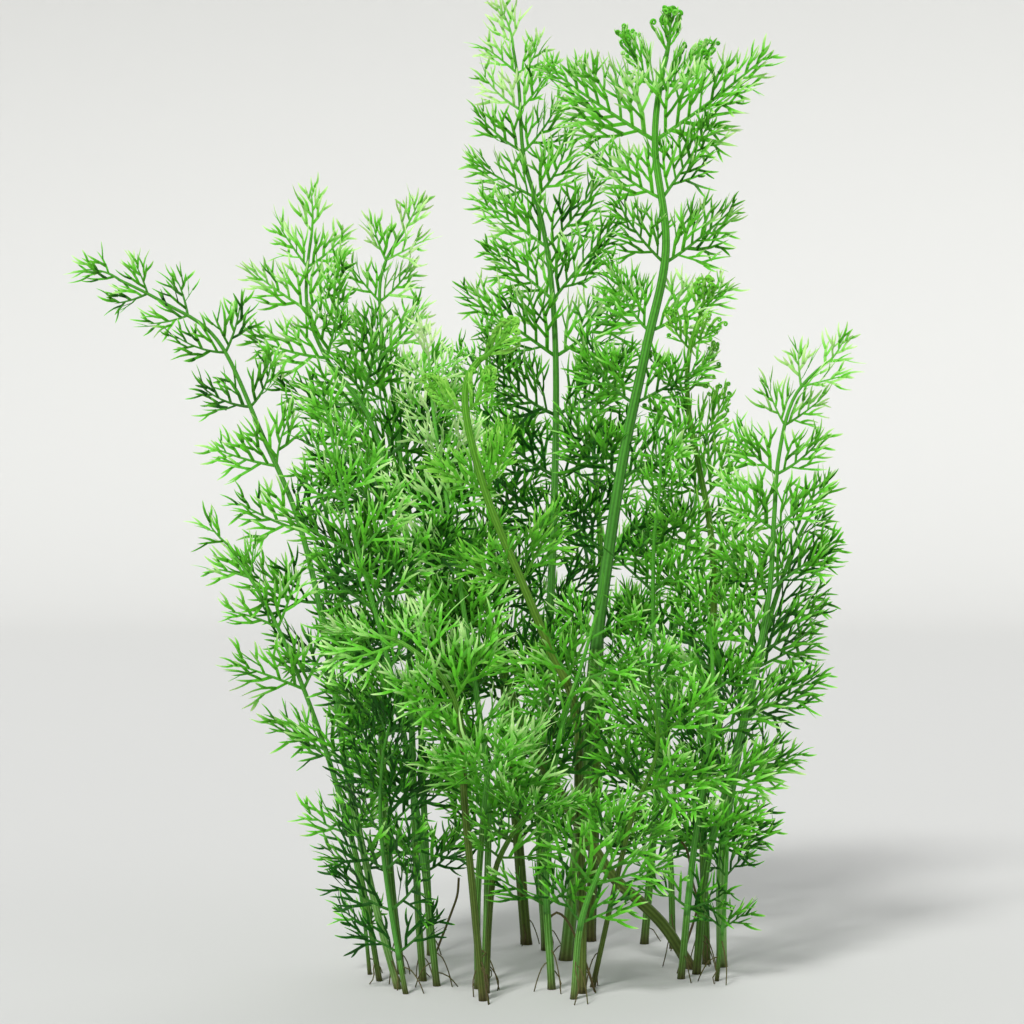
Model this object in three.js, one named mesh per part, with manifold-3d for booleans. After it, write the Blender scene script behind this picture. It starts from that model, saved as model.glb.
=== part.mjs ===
// A clump of water sprite, the feathery fern of the aquarium, cut off flat where it grew out of the ground.
// Each frond is a bare stipe and, above it, a blade: the rachis with its pinnae, the side leaflets. The
// lowest pinnae of the tallest fronds fork off as branches of their own.
// Millimetres, +Z up, seen from -Y. The origin is the middle of the tallest frond's cut, on the surface
// that the clump stands on.
import * as THREE from "three";
import { mergeVertices } from "three/addons/utils/BufferGeometryUtils.js";
import Module from "manifold-3d";

const wasm = await Module();
wasm.setup();

// Driving dimensions
const GAP = 0.35; // between one piece and the next
const STIPE_SIDES = 5;
const ROD_STEP = 28; // longest straight stretch of a stalk
const ROD_TURN = 10; // degrees that one stretch turns from the last at most
const CUT_SWELL = 1.25; // a stipe's cut end is this much thicker than the stipe
const STIPE_TAPER = 0.12; // share of its radius that a stalk would lose without leaf
const RACHIS_TIP = 0.45; // radius where the rachis ends
const RACHIS_TAPER = 1.3; // power of the taper from the first pinna to the tip
const ABOVE_FORK = 2.5; // bare rachis between the top of the stipe and the first pinna
const LAST_PINNA = 0.965; // where the end pinna grows, as a share of the frond's length
const CROWDING = 1.3; // power by which pinnae stand closer together towards the tip
const BASE_HALF = 1.1; // half the width of a pinna's foot on the rachis
const LEAN = { low: 62, high: 52 }; // degrees between a pinna and the rachis, lowest and topmost
const SWING = 36; // degrees that pinnae turn out of the frond's plane, either way
const SIZE = { first: 0.72, full: 0.25, lost: 0.68, wobble: 0.1 }; // pinna length along the frond
const END_PINNA = 0.42; // length of the one at the tip, as a share of the longest
const MIDRIB = { half: 0.75, thick: 0.5 }; // a pinna's midrib: half its width, and its height
const REACH = { upper: 0.36, lower: 0.32 }; // pinnules off the midrib, as shares of the pinna's length
const PINNULES = { first: 0.1, span: 0.7 }; // where they grow on the midrib, as shares of its length
const PINNULE_SLANT = 42; // degrees between a pinnule and the midrib
const FOOT = { least: 0.5, ofRadius: 1.5 }; // bare foot of a midrib, from the middle of the rachis
const RISE = 0.16; // a pinna curves up by this share of its length
const SHORT_PINNA = 32; // a pinna shorter than this has one pair of pinnules in the solid, others two
const FORK_PAIRS = 6; // pairs of pinnules on a branch of its own
const LOWEST_LEAF = 1; // no leaf comes nearer than this to the surface
const GOLDEN = 0.618034;
const SEED_STEP = 7; // between one frond's natural variation and the next one's

const LEAF = { color: 0x5fae3c, roughness: 0.5, metalness: 0 };
const YOUNG_LEAF = { color: 0x86c440, roughness: 0.5, metalness: 0 };
const STALK = { color: 0x3f8a34, roughness: 0.45, metalness: 0 };
const OLD_STALK = { color: 0x66702c, roughness: 0.55, metalness: 0 };

// The fronds, by where they stand. line is the stalk's centre line from its cut to its tip; radius is the
// stipe's; bare is the share of the line without leaf; pinna is the longest pinna; taper is the power by
// which pinnae shorten to the tip; face is the way that the frond's upper side looks. fork is the tier of
// pinnae that are branches of their own, with their length and their angle to the rachis.
const FRONDS = [
  {
    name: "tall_centre",
    line: [
      [0, 0, 0], [7, 3, 65], [11, 5, 112], [20, 5, 176], [29, 3, 220], [36, 0, 256], [32, -2, 292],
      [34, -3, 316], [39, -4, 336],
    ],
    radius: 2.3, bare: 0.33, pinna: 34, taper: 16, pairs: 9,
    face: [0, -1, 0.1], fork: { tier: 7, length: 50, lean: 64 },
  },
  {
    name: "tall_back",
    line: [
      [-7, 20, 0], [-9, 24, 49], [-5, 30, 129], [-3, 32, 196], [-4, 31, 238], [-8, 30, 268],
      [-15, 28, 293], [-17, 27, 320], [-21, 26, 345],
    ],
    radius: 1.5, bare: 0.36, pinna: 43, taper: 2.4, pairs: 11,
    face: [0, -1, 0.1], fork: { tier: 4, length: 43, lean: 64 },
  },
  {
    name: "far_left",
    line: [
      [-58, -54, 0], [-66, -52, 29], [-75, -48, 70], [-83, -43, 117], [-93, -38, 158],
      [-106, -33, 188], [-122, -28, 221], [-142, -25, 235], [-166, -22, 247],
    ],
    radius: 1.2, bare: 0.27, pinna: 33, taper: 1.6, pairs: 9, face: [-0.2, -1, 0.2],
  },
  {
    name: "left_tall",
    line: [
      [-58, -27, 0], [-62, -26, 36], [-65, -24, 82], [-63, -20, 130], [-63, -18, 169],
      [-70, -17, 195], [-84, -16, 214], [-91, -16, 230], [-92, -16, 245], [-89, -16, 268],
    ],
    radius: 1.3, bare: 0.29, pinna: 40, taper: 4, pairs: 9, face: [0, -1, 0.1],
  },
  {
    name: "left_inner",
    line: [
      [-50, -40, 0], [-52, -36, 27], [-54, -28, 75], [-56, -14, 124], [-58, -4, 165],
      [-62, 4, 201], [-67, 8, 230], [-66, 10, 251], [-54, 10, 270],
    ],
    radius: 1.2, bare: 0.2, pinna: 34, taper: 4, pairs: 10, face: [0.2, -1, 0.1],
  },
  {
    name: "left_edge",
    line: [
      [-65, -40, 0], [-71, -42, 35], [-80, -45, 70], [-90, -48, 100], [-102, -50, 128],
      [-119, -50, 155],
    ],
    radius: 1.0, bare: 0.3, pinna: 26, taper: 3, pairs: 5, face: [-0.3, -1, 0.3],
  },
  {
    name: "left_front",
    line: [
      [-45, -49, 0], [-50, -57, 50], [-58, -66, 100], [-68, -70, 140], [-76, -70, 170],
      [-81, -68, 196],
    ],
    radius: 1.2, bare: 0.2, pinna: 33, taper: 3, pairs: 8, face: [-0.4, -1, 0.2],
  },
  {
    name: "left_back",
    line: [[-49, 10, 0], [-52, 16, 60], [-55, 24, 120], [-62, 30, 170], [-70, 34, 212]],
    radius: 1.3, bare: 0.13, pinna: 36, taper: 3, pairs: 8, face: [-0.6, 1, 0.2],
  },
  {
    name: "pale_centre",
    line: [
      [-29, -43, 0], [-28, -42, 28], [-28, -38, 69], [-34, -33, 113], [-41, -29, 158],
      [-47, -26, 197], [-49, -24, 222],
    ],
    radius: 1.2, bare: 0.24, pinna: 32, taper: 3, pairs: 9, face: [0.4, -1, 0.1],
  },
  {
    name: "crozier",
    line: [
      [4, -62, 0], [4, -63, 31], [3, -63, 65], [2, -62, 95], [-7, -60, 116], [-17, -58, 140],
      [-27, -56, 164], [-34, -54, 189], [-35, -53, 204], [-30, -53, 213], [-25, -54, 208],
    ],
    radius: 1.5, bare: 0.45, pinna: 36, taper: 1.2, pairs: 4,
    face: [0, -1, 0.1], old: true, young: true,
  },
  {
    name: "arching",
    line: [
      [-29, -75, 0], [-32, -77, 33], [-35, -79, 66], [-36, -80, 91], [-41, -82, 105],
      [-49, -83, 114], [-59, -82, 120], [-69, -80, 120], [-77, -78, 115],
    ],
    radius: 1.2, bare: 0.55, pinna: 28, taper: 3, pairs: 5, face: [0, -0.7, 1], old: true,
  },
  {
    name: "rosette",
    line: [[-31, -54, 0], [-31, -58, 31], [-29, -68, 58], [-27, -86, 76], [-24, -103, 84]],
    radius: 1.1, bare: 0.6, pinna: 30, taper: 3, pairs: 4, face: [0, 0.4, 1],
  },
  {
    name: "low_rosette",
    line: [
      [-28, -62, 0], [-27, -65, 25], [-25, -68, 42], [-20, -76, 54], [-15, -86, 62],
      [-12, -96, 66],
    ],
    radius: 1.0, bare: 0.55, pinna: 22, taper: 3, pairs: 4, face: [0, 0.4, 1], old: true,
  },
  {
    name: "low_left",
    line: [[-55, -63, 0], [-60, -67, 30], [-63, -71, 58], [-62, -75, 80], [-58, -79, 97]],
    radius: 0.9, bare: 0.12, pinna: 26, taper: 3, pairs: 7, face: [-0.4, -1, 0.4],
  },
  {
    name: "low_centre",
    line: [[-6, -55, 0], [-8, -66, 45], [-4, -74, 85], [4, -80, 113], [10, -82, 134]],
    radius: 1.3, bare: 0.2, pinna: 31, taper: 3, pairs: 6, face: [0.3, -1, 0.2],
  },
  {
    name: "low_right",
    line: [[1, -72, 0], [3, -78, 25], [9, -84, 44], [16, -89, 60]],
    radius: 1.1, bare: 0.38, pinna: 26, taper: 3, pairs: 3, face: [0.2, -0.8, 1],
  },
  {
    name: "right_front",
    line: [
      [8, -51, 0], [15, -58, 34], [21, -68, 61], [28, -74, 80], [28, -77, 94], [24, -79, 105],
      [23, -80, 118],
    ],
    radius: 0.9, bare: 0.4, pinna: 30, taper: 3, pairs: 4, face: [0.2, -1, 0.2], old: true,
  },
  {
    name: "right_middle",
    line: [[39, -36, 0], [42, -46, 40], [46, -54, 75], [48, -60, 105], [46, -64, 130]],
    radius: 1.2, bare: 0.18, pinna: 30, taper: 3, pairs: 6, face: [-0.2, -1, 0.3],
  },
  {
    name: "right_inner",
    line: [
      [40, 24, 0], [39, 20, 30], [36, 10, 64], [33, 0, 97], [31, -8, 126], [31, -14, 151],
      [33, -19, 176], [31, -22, 194],
    ],
    radius: 1.2, bare: 0.16, pinna: 30, taper: 3, pairs: 9, face: [-0.5, -1, 0.1],
  },
  {
    name: "right_crozier",
    line: [
      [50, -8, 0], [49, -7, 58], [53, -3, 126], [52, 0, 155], [48, 2, 178], [44, 3, 202],
      [45, 2, 221], [51, 0, 238],
    ],
    radius: 1.4, bare: 0.4, pinna: 28, taper: 3, pairs: 7, face: [0, -1, 0.1], young: true,
  },
  {
    name: "right_tall",
    line: [
      [45, -27, 0], [48, -31, 37], [54, -34, 62], [62, -37, 96], [69, -38, 131], [71, -37, 158],
      [73, -35, 181], [79, -33, 202], [94, -30, 217],
    ],
    radius: 1.4, bare: 0.18, pinna: 33, taper: 3, pairs: 9, face: [0.2, -1, 0.2],
  },
  {
    name: "right_edge",
    line: [
      [55, -13, 0], [55, -13, 35], [58, -12, 60], [65, -10, 95], [73, -8, 125], [82, -6, 150],
      [91, -5, 166],
    ],
    radius: 1.8, bare: 0.24, pinna: 30, taper: 3, pairs: 7, face: [0.6, -1, 0.3],
  },
  {
    name: "leaning",
    line: [
      [44, -17, 0], [35, -14, 14], [26, -12, 23], [17, -10, 31], [7, -11, 46], [-4, -13, 64],
      [-15, -16, 84], [-25, -19, 115], [-31, -21, 143], [-35, -22, 168],
    ],
    radius: 2.0, bare: 0.46, pinna: 32, taper: 3, pairs: 4, face: [0.2, -1, 0.1], old: true,
  },
  {
    name: "back_left",
    line: [[-14, 33, 0], [-19, 42, 60], [-25, 50, 125], [-29, 56, 180], [-29, 60, 232]],
    radius: 2.0, bare: 0.15, pinna: 39, taper: 3, pairs: 9, face: [-0.3, 1, 0.2], old: true,
  },
  {
    name: "back_middle",
    line: [[10, 40, 0], [13, 56, 70], [15, 68, 140], [12, 76, 188], [8, 80, 216]],
    radius: 2.0, bare: 0.14, pinna: 36, taper: 3, pairs: 8, face: [0.2, 1, 0.2], old: true,
  },
  {
    name: "back_right",
    line: [[30, 34, 0], [36, 44, 60], [43, 52, 118], [50, 57, 160], [55, 60, 188]],
    radius: 1.5, bare: 0.15, pinna: 33, taper: 3, pairs: 7, face: [0.6, 1, 0.2],
  },
  {
    name: "sprout_left",
    line: [[-69, -28, 0], [-71, -31, 22], [-74, -34, 42], [-75, -36, 62]],
    radius: 0.7, bare: 0.25, pinna: 17, taper: 3, pairs: 3, face: [-0.4, -1, 0.4],
  },
  {
    name: "sprout_right",
    line: [[51, -40, 0], [53, -44, 22], [54, -47, 44], [54, -49, 66]],
    radius: 0.7, bare: 0.25, pinna: 16, taper: 3, pairs: 3, face: [0.4, -1, 0.4],
  },
];

const vector = (p) => new THREE.Vector3(...p);
const radians = (degrees) => THREE.MathUtils.degToRad(degrees);

// Natural variation that is the same each time, from -1 to 1.
const vary = (seed) => ((seed * GOLDEN) % 1) * 2 - 1;

// A closed three.js geometry as a solid.
function solid(geometry) {
  const bare = new THREE.BufferGeometry().setAttribute("position", geometry.getAttribute("position"));
  if (geometry.index) bare.setIndex(geometry.index);
  const merged = mergeVertices(bare, 1e-4);
  return new wasm.Manifold(
    new wasm.Mesh({
      numProp: 3,
      vertProperties: merged.attributes.position.array,
      triVerts: new Uint32Array(merged.index.array),
    }),
  );
}

// A solid as a three.js mesh, named for its node.
function mesh(name, body, material) {
  const { vertProperties, triVerts } = body.getMesh();
  const geometry = new THREE.BufferGeometry()
    .setAttribute("position", new THREE.BufferAttribute(new Float32Array(vertProperties), 3))
    .setIndex(new THREE.BufferAttribute(triVerts, 1));
  geometry.computeVertexNormals();
  const made = new THREE.Mesh(geometry, new THREE.MeshStandardMaterial({ ...material, flatShading: true }));
  made.name = name;
  return made;
}

// The frond's centre line, with the directions along, to the side of and out of its plane at any point.
function stalkLine(frond) {
  const curve = new THREE.CatmullRomCurve3(frond.line.map(vector), false, "catmullrom", 0.5);
  const face = vector(frond.face).normalize();
  const length = curve.getLength();
  const at = (share) => {
    const along = curve.getTangentAt(share);
    const side = new THREE.Vector3().crossVectors(along, face).normalize();
    return { point: curve.getPointAt(share), along, side, out: side.clone().cross(along) };
  };
  const radiusAt = (share) => {
    const leafy = Math.max(0, (share - frond.bare) / (1 - frond.bare));
    return THREE.MathUtils.lerp(frond.radius * (1 - STIPE_TAPER * share), RACHIS_TIP, leafy ** RACHIS_TAPER);
  };
  return { at, radiusAt, length };
}

// Where the stalk between two points has its joints: closer together where the line bends.
function joints(line, from, to) {
  const shares = [from];
  const fine = Math.ceil((to - from) * line.length);
  for (let i = 1; i < fine; i += 1) {
    const share = from + ((to - from) * i) / fine;
    const last = shares[shares.length - 1];
    const turned = line.at(share).along.angleTo(line.at(last).along);
    const far = (share - last) * line.length > ROD_STEP;
    if (far || turned > radians(ROD_TURN)) shares.push(share);
  }
  return [...shares, to];
}

// A bare stipe: turned straight on the lathe, then bent to the line. Its cut end lies flat.
function stipeRod(line, to) {
  const profile = joints(line, 0, to).map((share) => {
    const swell = share === 0 ? CUT_SWELL : 1;
    return new THREE.Vector2(line.radiusAt(share) * swell, share);
  });
  profile.unshift(new THREE.Vector2(0, 0));
  profile.push(new THREE.Vector2(0, to));
  const geometry = new THREE.LatheGeometry(profile, STIPE_SIDES);
  const places = geometry.getAttribute("position");
  for (let i = 0; i < places.count; i += 1) {
    const share = THREE.MathUtils.clamp(places.getY(i), 0, 1);
    const here = line.at(share);
    const p = here.point
      .clone()
      .addScaledVector(here.side, places.getX(i))
      .addScaledVector(here.out, places.getZ(i));
    places.setXYZ(i, p.x, p.y, share === 0 ? 0 : p.z);
  }
  return solid(geometry);
}

// The points of a pinna: its midrib and, either side of it, a notch and the point of a pinnule at each
// station. foot is the length of midrib below the stations. spare grows it all round, to test that it is
// clear of its neighbours.
function pinnaPoints({ root, along, up, out, mirrored, foot }, length, pairs, spare) {
  const at = (u, v, w) =>
    root
      .clone()
      .addScaledVector(along, u)
      .addScaledVector(up, v + (RISE * u * u) / length)
      .addScaledVector(out, w);
  const slant = Math.tan(radians(PINNULE_SLANT));
  const stations = Array.from({ length: pairs }, (_, k) => {
    const u = foot + (length - foot) * (PINNULES.first + (PINNULES.span * k) / pairs);
    const slim = 1 - u / length;
    const half = MIDRIB.half * slim + spare;
    const flank = (sign, reach) => {
      const long = reach * length * slim + 2 * spare;
      return { notch: at(u, sign * half, 0), point: at(u + long / slant, sign * long, 0) };
    };
    return {
      ridge: at(u, 0, MIDRIB.thick * slim + spare),
      keel: at(u, 0, -spare),
      upper: flank(1, REACH.upper),
      lower: flank(-1, REACH.lower),
    };
  });
  return { base: at(-spare, 0, 0), stations, tip: at(length + 2 * spare, 0, 0), mirrored };
}

// A mesh under construction: points are numbered as they come, faces turn round when mirrored.
function sheet() {
  const corners = [];
  const faces = [];
  const dot = (p) => corners.push(p.x, p.y, p.z) / 3 - 1;
  const face = (mirrored, a, b, c) => faces.push(...(mirrored ? [a, c, b] : [a, b, c]));
  const close = () =>
    solid(
      new THREE.BufferGeometry()
        .setAttribute("position", new THREE.BufferAttribute(new Float32Array(corners), 3))
        .setIndex(faces),
    );
  return { dot, face, close };
}

// A pinna by itself, as one closed leaf.
function looseLeaf(points) {
  const { dot, face, close } = sheet();
  const base = dot(points.base);
  const tip = dot(points.tip);
  const flanks = points.stations.map(({ ridge, keel, upper, lower }) => ({
    mid: [dot(ridge), dot(keel)],
    sides: [upper, lower].map(({ notch, point }) => [dot(notch), dot(point)]),
  }));
  for (const layer of [0, 1]) {
    for (const side of [0, 1]) {
      const turned = (layer !== side) !== points.mirrored;
      face(turned, base, flanks[0].mid[layer], flanks[0].sides[side][0]);
      flanks.forEach(({ mid, sides }, k) => {
        const [notch, point] = sides[side];
        const next = flanks[k + 1];
        face(turned, mid[layer], point, notch);
        face(turned, mid[layer], next ? next.sides[side][0] : tip, point);
        if (next) face(turned, mid[layer], next.mid[layer], next.sides[side][0]);
      });
    }
  }
  return close();
}

// A pinna that grows out of the rachis between two of its rings, or on from its last ring.
function growLeaf({ dot, face }, points, low, high, edge) {
  const { mirrored } = points;
  const tip = dot(points.tip);
  const flanks = points.stations.map(({ ridge, upper, lower }) => ({
    ridge: dot(ridge),
    upper: [dot(upper.notch), dot(upper.point)],
    lower: [dot(lower.notch), dot(lower.point)],
  }));
  const first = flanks[0];
  face(mirrored, low.top, low[edge], first.ridge);
  face(mirrored, low[edge], first.lower[0], first.ridge);
  face(mirrored, first.ridge, first.upper[0], high[edge]);
  face(mirrored, first.ridge, high[edge], high.top);
  face(mirrored, first.ridge, high.top, low.top);
  face(mirrored, low.under, high.under, high[edge]);
  face(mirrored, low.under, high[edge], low[edge]);
  face(mirrored, low[edge], high[edge], first.upper[0]);
  face(mirrored, low[edge], first.upper[0], first.lower[0]);
  flanks.forEach(({ ridge, upper, lower }, k) => {
    const next = flanks[k + 1];
    const [upperEnd, lowerEnd] = next ? [next.upper[0], next.lower[0]] : [tip, tip];
    face(mirrored, lower[0], lower[1], ridge);
    face(mirrored, lower[1], lowerEnd, ridge);
    face(mirrored, upper[1], upper[0], ridge);
    face(mirrored, upperEnd, upper[1], ridge);
    face(mirrored, lower[1], lower[0], lowerEnd);
    face(mirrored, upper[0], upper[1], upperEnd);
    face(mirrored, lower[0], upper[0], upperEnd);
    if (next) {
      face(mirrored, lowerEnd, next.ridge, ridge);
      face(mirrored, next.ridge, upperEnd, ridge);
      face(mirrored, lower[0], upperEnd, lowerEnd);
    }
  });
}

// A blade in one piece: a rachis of four flat sides with its pinnae growing out of its edges.
function bladeSolid(line, from, tiers, end) {
  const made = sheet();
  const ring = (share) => {
    const { point, side, out } = line.at(share);
    const r = line.radiusAt(share);
    return {
      top: made.dot(point.clone().addScaledVector(out, r)),
      under: made.dot(point.clone().addScaledVector(out, -r)),
      left: made.dot(point.clone().addScaledVector(side, -r)),
      right: made.dot(point.clone().addScaledVector(side, r)),
    };
  };
  const flat = (low, high, edge, mirrored) => {
    made.face(mirrored, low.top, low[edge], high[edge]);
    made.face(mirrored, low.top, high[edge], high.top);
    made.face(mirrored, low.under, high.under, high[edge]);
    made.face(mirrored, low.under, high[edge], low[edge]);
  };
  const half = BASE_HALF / line.length;
  let last = ring(from);
  let at = from;
  made.face(false, last.top, last.left, last.under);
  made.face(false, last.top, last.under, last.right);
  const climb = (to) => {
    for (const share of joints(line, at, to).slice(1)) {
      const next = ring(share);
      flat(last, next, "right", false);
      flat(last, next, "left", true);
      last = next;
    }
    at = to;
  };
  for (const { share, leaves } of tiers) {
    climb(share - half);
    const next = ring(share + half);
    for (const [edge, mirrored] of [["right", false], ["left", true]]) {
      if (leaves[edge]) growLeaf(made, leaves[edge], last, next, edge);
      else flat(last, next, edge, mirrored);
    }
    last = next;
    at = share + half;
  }
  climb(LAST_PINNA);
  capWithLeaf(made, last, end);
  return made.close();
}

// The pinna that ends a frond, growing on from the last ring of the rachis.
function capWithLeaf({ dot, face }, ring, points) {
  const tip = dot(points.tip);
  const [{ upper, lower }] = points.stations;
  const left = dot(upper.point);
  const right = dot(lower.point);
  face(false, ring.top, ring.right, right);
  face(false, ring.top, right, tip);
  face(false, ring.top, tip, left);
  face(false, ring.top, left, ring.left);
  face(true, ring.under, ring.right, right);
  face(true, ring.under, right, tip);
  face(true, ring.under, tip, left);
  face(true, ring.under, left, ring.left);
}

// The tiers of pinnae of a frond, from the first fork to the tip, one to the left and one to the right.
function pinnaTiers(frond, line, index) {
  const first = frond.bare + ABOVE_FORK / line.length;
  return Array.from({ length: frond.pairs }, (_, k) => {
    const rise = 1 - (1 - k / frond.pairs) ** CROWDING;
    const grown = SIZE.first + (1 - SIZE.first) * Math.min(1, rise / SIZE.full);
    const size = frond.pinna * grown * (1 - SIZE.lost * rise ** frond.taper);
    const fork = frond.fork?.tier === k;
    const spots = ["left", "right"].map((edge, i) => {
      const seed = SEED_STEP * index + 2 * k + i;
      return {
        edge,
        sign: i * 2 - 1,
        share: first + (LAST_PINNA - first) * rise,
        turn: fork ? frond.fork.lean : THREE.MathUtils.lerp(LEAN.low, LEAN.high, rise),
        swing: SWING * vary(seed),
        length: fork ? frond.fork.length : size * (1 + SIZE.wobble * vary(seed + 3)),
        fork,
      };
    });
    return { share: spots[0].share, spots, leaves: {} };
  });
}

// The directions of one pinna, from its place on the line, and turned a little further if asked.
function pinnaFrame(line, spot, extra) {
  const here = line.at(spot.share);
  const swing = radians((spot.swing + extra.swing) * spot.sign);
  const turn = radians(spot.turn + extra.turn);
  const side = here.side.clone().applyAxisAngle(here.along, swing).multiplyScalar(spot.sign);
  const out = here.out.clone().applyAxisAngle(here.along, swing);
  const along = here.along.clone().multiplyScalar(Math.cos(turn)).addScaledVector(side, Math.sin(turn));
  const up = new THREE.Vector3().crossVectors(out, along).multiplyScalar(spot.sign);
  const foot = FOOT.least + FOOT.ofRadius * line.radiusAt(spot.share);
  return { root: here.point, along, up, out, mirrored: spot.sign < 0, foot };
}

// Ways to move a pinna that would touch another piece, from the least change to the most.
const TRIES = [
  { swing: 0, turn: 0, size: 1 },
  { swing: 12, turn: 0, size: 1 },
  { swing: -12, turn: 0, size: 1 },
  { swing: 0, turn: -8, size: 0.95 },
  { swing: 24, turn: 0, size: 0.95 },
  { swing: -24, turn: 0, size: 0.95 },
  { swing: 12, turn: -12, size: 0.85 },
  { swing: -12, turn: -12, size: 0.85 },
  { swing: 36, turn: -6, size: 0.85 },
  { swing: -36, turn: -6, size: 0.85 },
  { swing: 0, turn: -16, size: 0.7 },
  { swing: 24, turn: -12, size: 0.6 },
  { swing: -24, turn: -12, size: 0.6 },
  { swing: 0, turn: -12, size: 0.45 },
];

// Every stalk and pinna already placed.
const placed = [];
const boxesMeet = (a, b) => [0, 1, 2].every((i) => a.min[i] <= b.max[i] && b.min[i] <= a.max[i]);
function place(body) {
  placed.push({ body, box: body.boundingBox() });
}
function isClear(body) {
  const box = body.boundingBox();
  return placed.every((other) => !boxesMeet(box, other.box) || other.body.intersect(body).isEmpty());
}

// Makes one pinna clear of everything else, or nothing where there is no room.
function fitPinna(line, spot) {
  for (const extra of TRIES) {
    const frame = pinnaFrame(line, spot, extra);
    const length = spot.length * extra.size;
    let pairs = length < SHORT_PINNA ? 1 : 2;
    if (spot.fork) pairs = FORK_PAIRS;
    const offset = frame.along.clone().multiplyScalar(line.radiusAt(spot.share) + BASE_HALF);
    const outside = { ...frame, root: frame.root.clone().add(offset), foot: 0 };
    const test = looseLeaf(pinnaPoints(outside, length, pairs, GAP));
    if (test.boundingBox().min[2] > LOWEST_LEAF && isClear(test)) {
      place(test);
      return pinnaPoints(spot.fork ? outside : frame, length, pairs, 0);
    }
  }
  return null;
}

// The clump: every stalk first, then the pinnae, the lowest tier of each frond before the next one.
const clump = new THREE.Group();
clump.name = "water_sprite";
const fronds = FRONDS.map((frond, index) => {
  const line = stalkLine(frond);
  const stipe = stipeRod(line, frond.bare);
  const tiers = pinnaTiers(frond, line, index);
  const from = frond.bare + GAP / line.length;
  const atEnd = { share: LAST_PINNA, sign: 1, turn: 0, swing: 0 };
  const end = pinnaPoints(pinnaFrame(line, atEnd, TRIES[0]), frond.pinna * END_PINNA, 1, 0);
  place(stipe);
  place(bladeSolid(line, from, [], end));
  return { frond, line, from, stipe, tiers, end };
});
const rounds = Math.max(...fronds.map(({ tiers }) => tiers.length));
for (let round = 0; round < rounds; round += 1) {
  for (const { line, tiers } of fronds) {
    for (const spot of tiers[round]?.spots ?? []) {
      tiers[round].leaves[spot.edge] = fitPinna(line, spot);
    }
  }
}
for (const { frond, line, from, stipe, tiers, end } of fronds) {
  const leaf = frond.young ? YOUNG_LEAF : LEAF;
  const branches = frond.fork ? tiers.splice(frond.fork.tier, 1)[0].leaves : {};
  clump.add(mesh(`${frond.name}_stipe`, stipe, frond.old ? OLD_STALK : STALK));
  clump.add(mesh(`${frond.name}_blade`, bladeSolid(line, from, tiers, end), leaf));
  for (const [edge, points] of Object.entries(branches)) {
    clump.add(mesh(`${frond.name}_branch_${edge}`, looseLeaf(points), leaf));
  }
}

export default clump;
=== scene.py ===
# A clump of water sprite, a feathery water fern, dressed on the frame of its solids. The courses of the
# fronds and the places of their pinnae are the solids' own, so every leaf grows on its solid pinna.
import functools
import math
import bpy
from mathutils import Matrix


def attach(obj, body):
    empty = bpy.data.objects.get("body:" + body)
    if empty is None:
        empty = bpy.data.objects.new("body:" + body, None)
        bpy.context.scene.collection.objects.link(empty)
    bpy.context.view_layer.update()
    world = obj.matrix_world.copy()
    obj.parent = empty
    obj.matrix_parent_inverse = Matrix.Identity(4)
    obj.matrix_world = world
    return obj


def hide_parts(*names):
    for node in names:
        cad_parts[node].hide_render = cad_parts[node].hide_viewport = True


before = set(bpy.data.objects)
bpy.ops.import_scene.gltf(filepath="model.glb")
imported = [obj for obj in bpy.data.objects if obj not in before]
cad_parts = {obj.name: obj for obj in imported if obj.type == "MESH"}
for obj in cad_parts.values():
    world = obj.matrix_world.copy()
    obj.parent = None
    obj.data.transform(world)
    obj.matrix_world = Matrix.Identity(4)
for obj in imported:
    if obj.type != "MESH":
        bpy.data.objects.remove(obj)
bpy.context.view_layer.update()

from types import SimpleNamespace

import bmesh
import bpy
import numpy as np
from mathutils import Vector, kdtree


# The stipes and their roots
# Every frond stands on a stipe, its bare lower stalk: fleshy, ribbed, green or olive, and cut off flat where
# it left the ground. The blade grows on from its top with no seam. Wiry brown roots spring from its foot.
MM = 0.001

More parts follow.
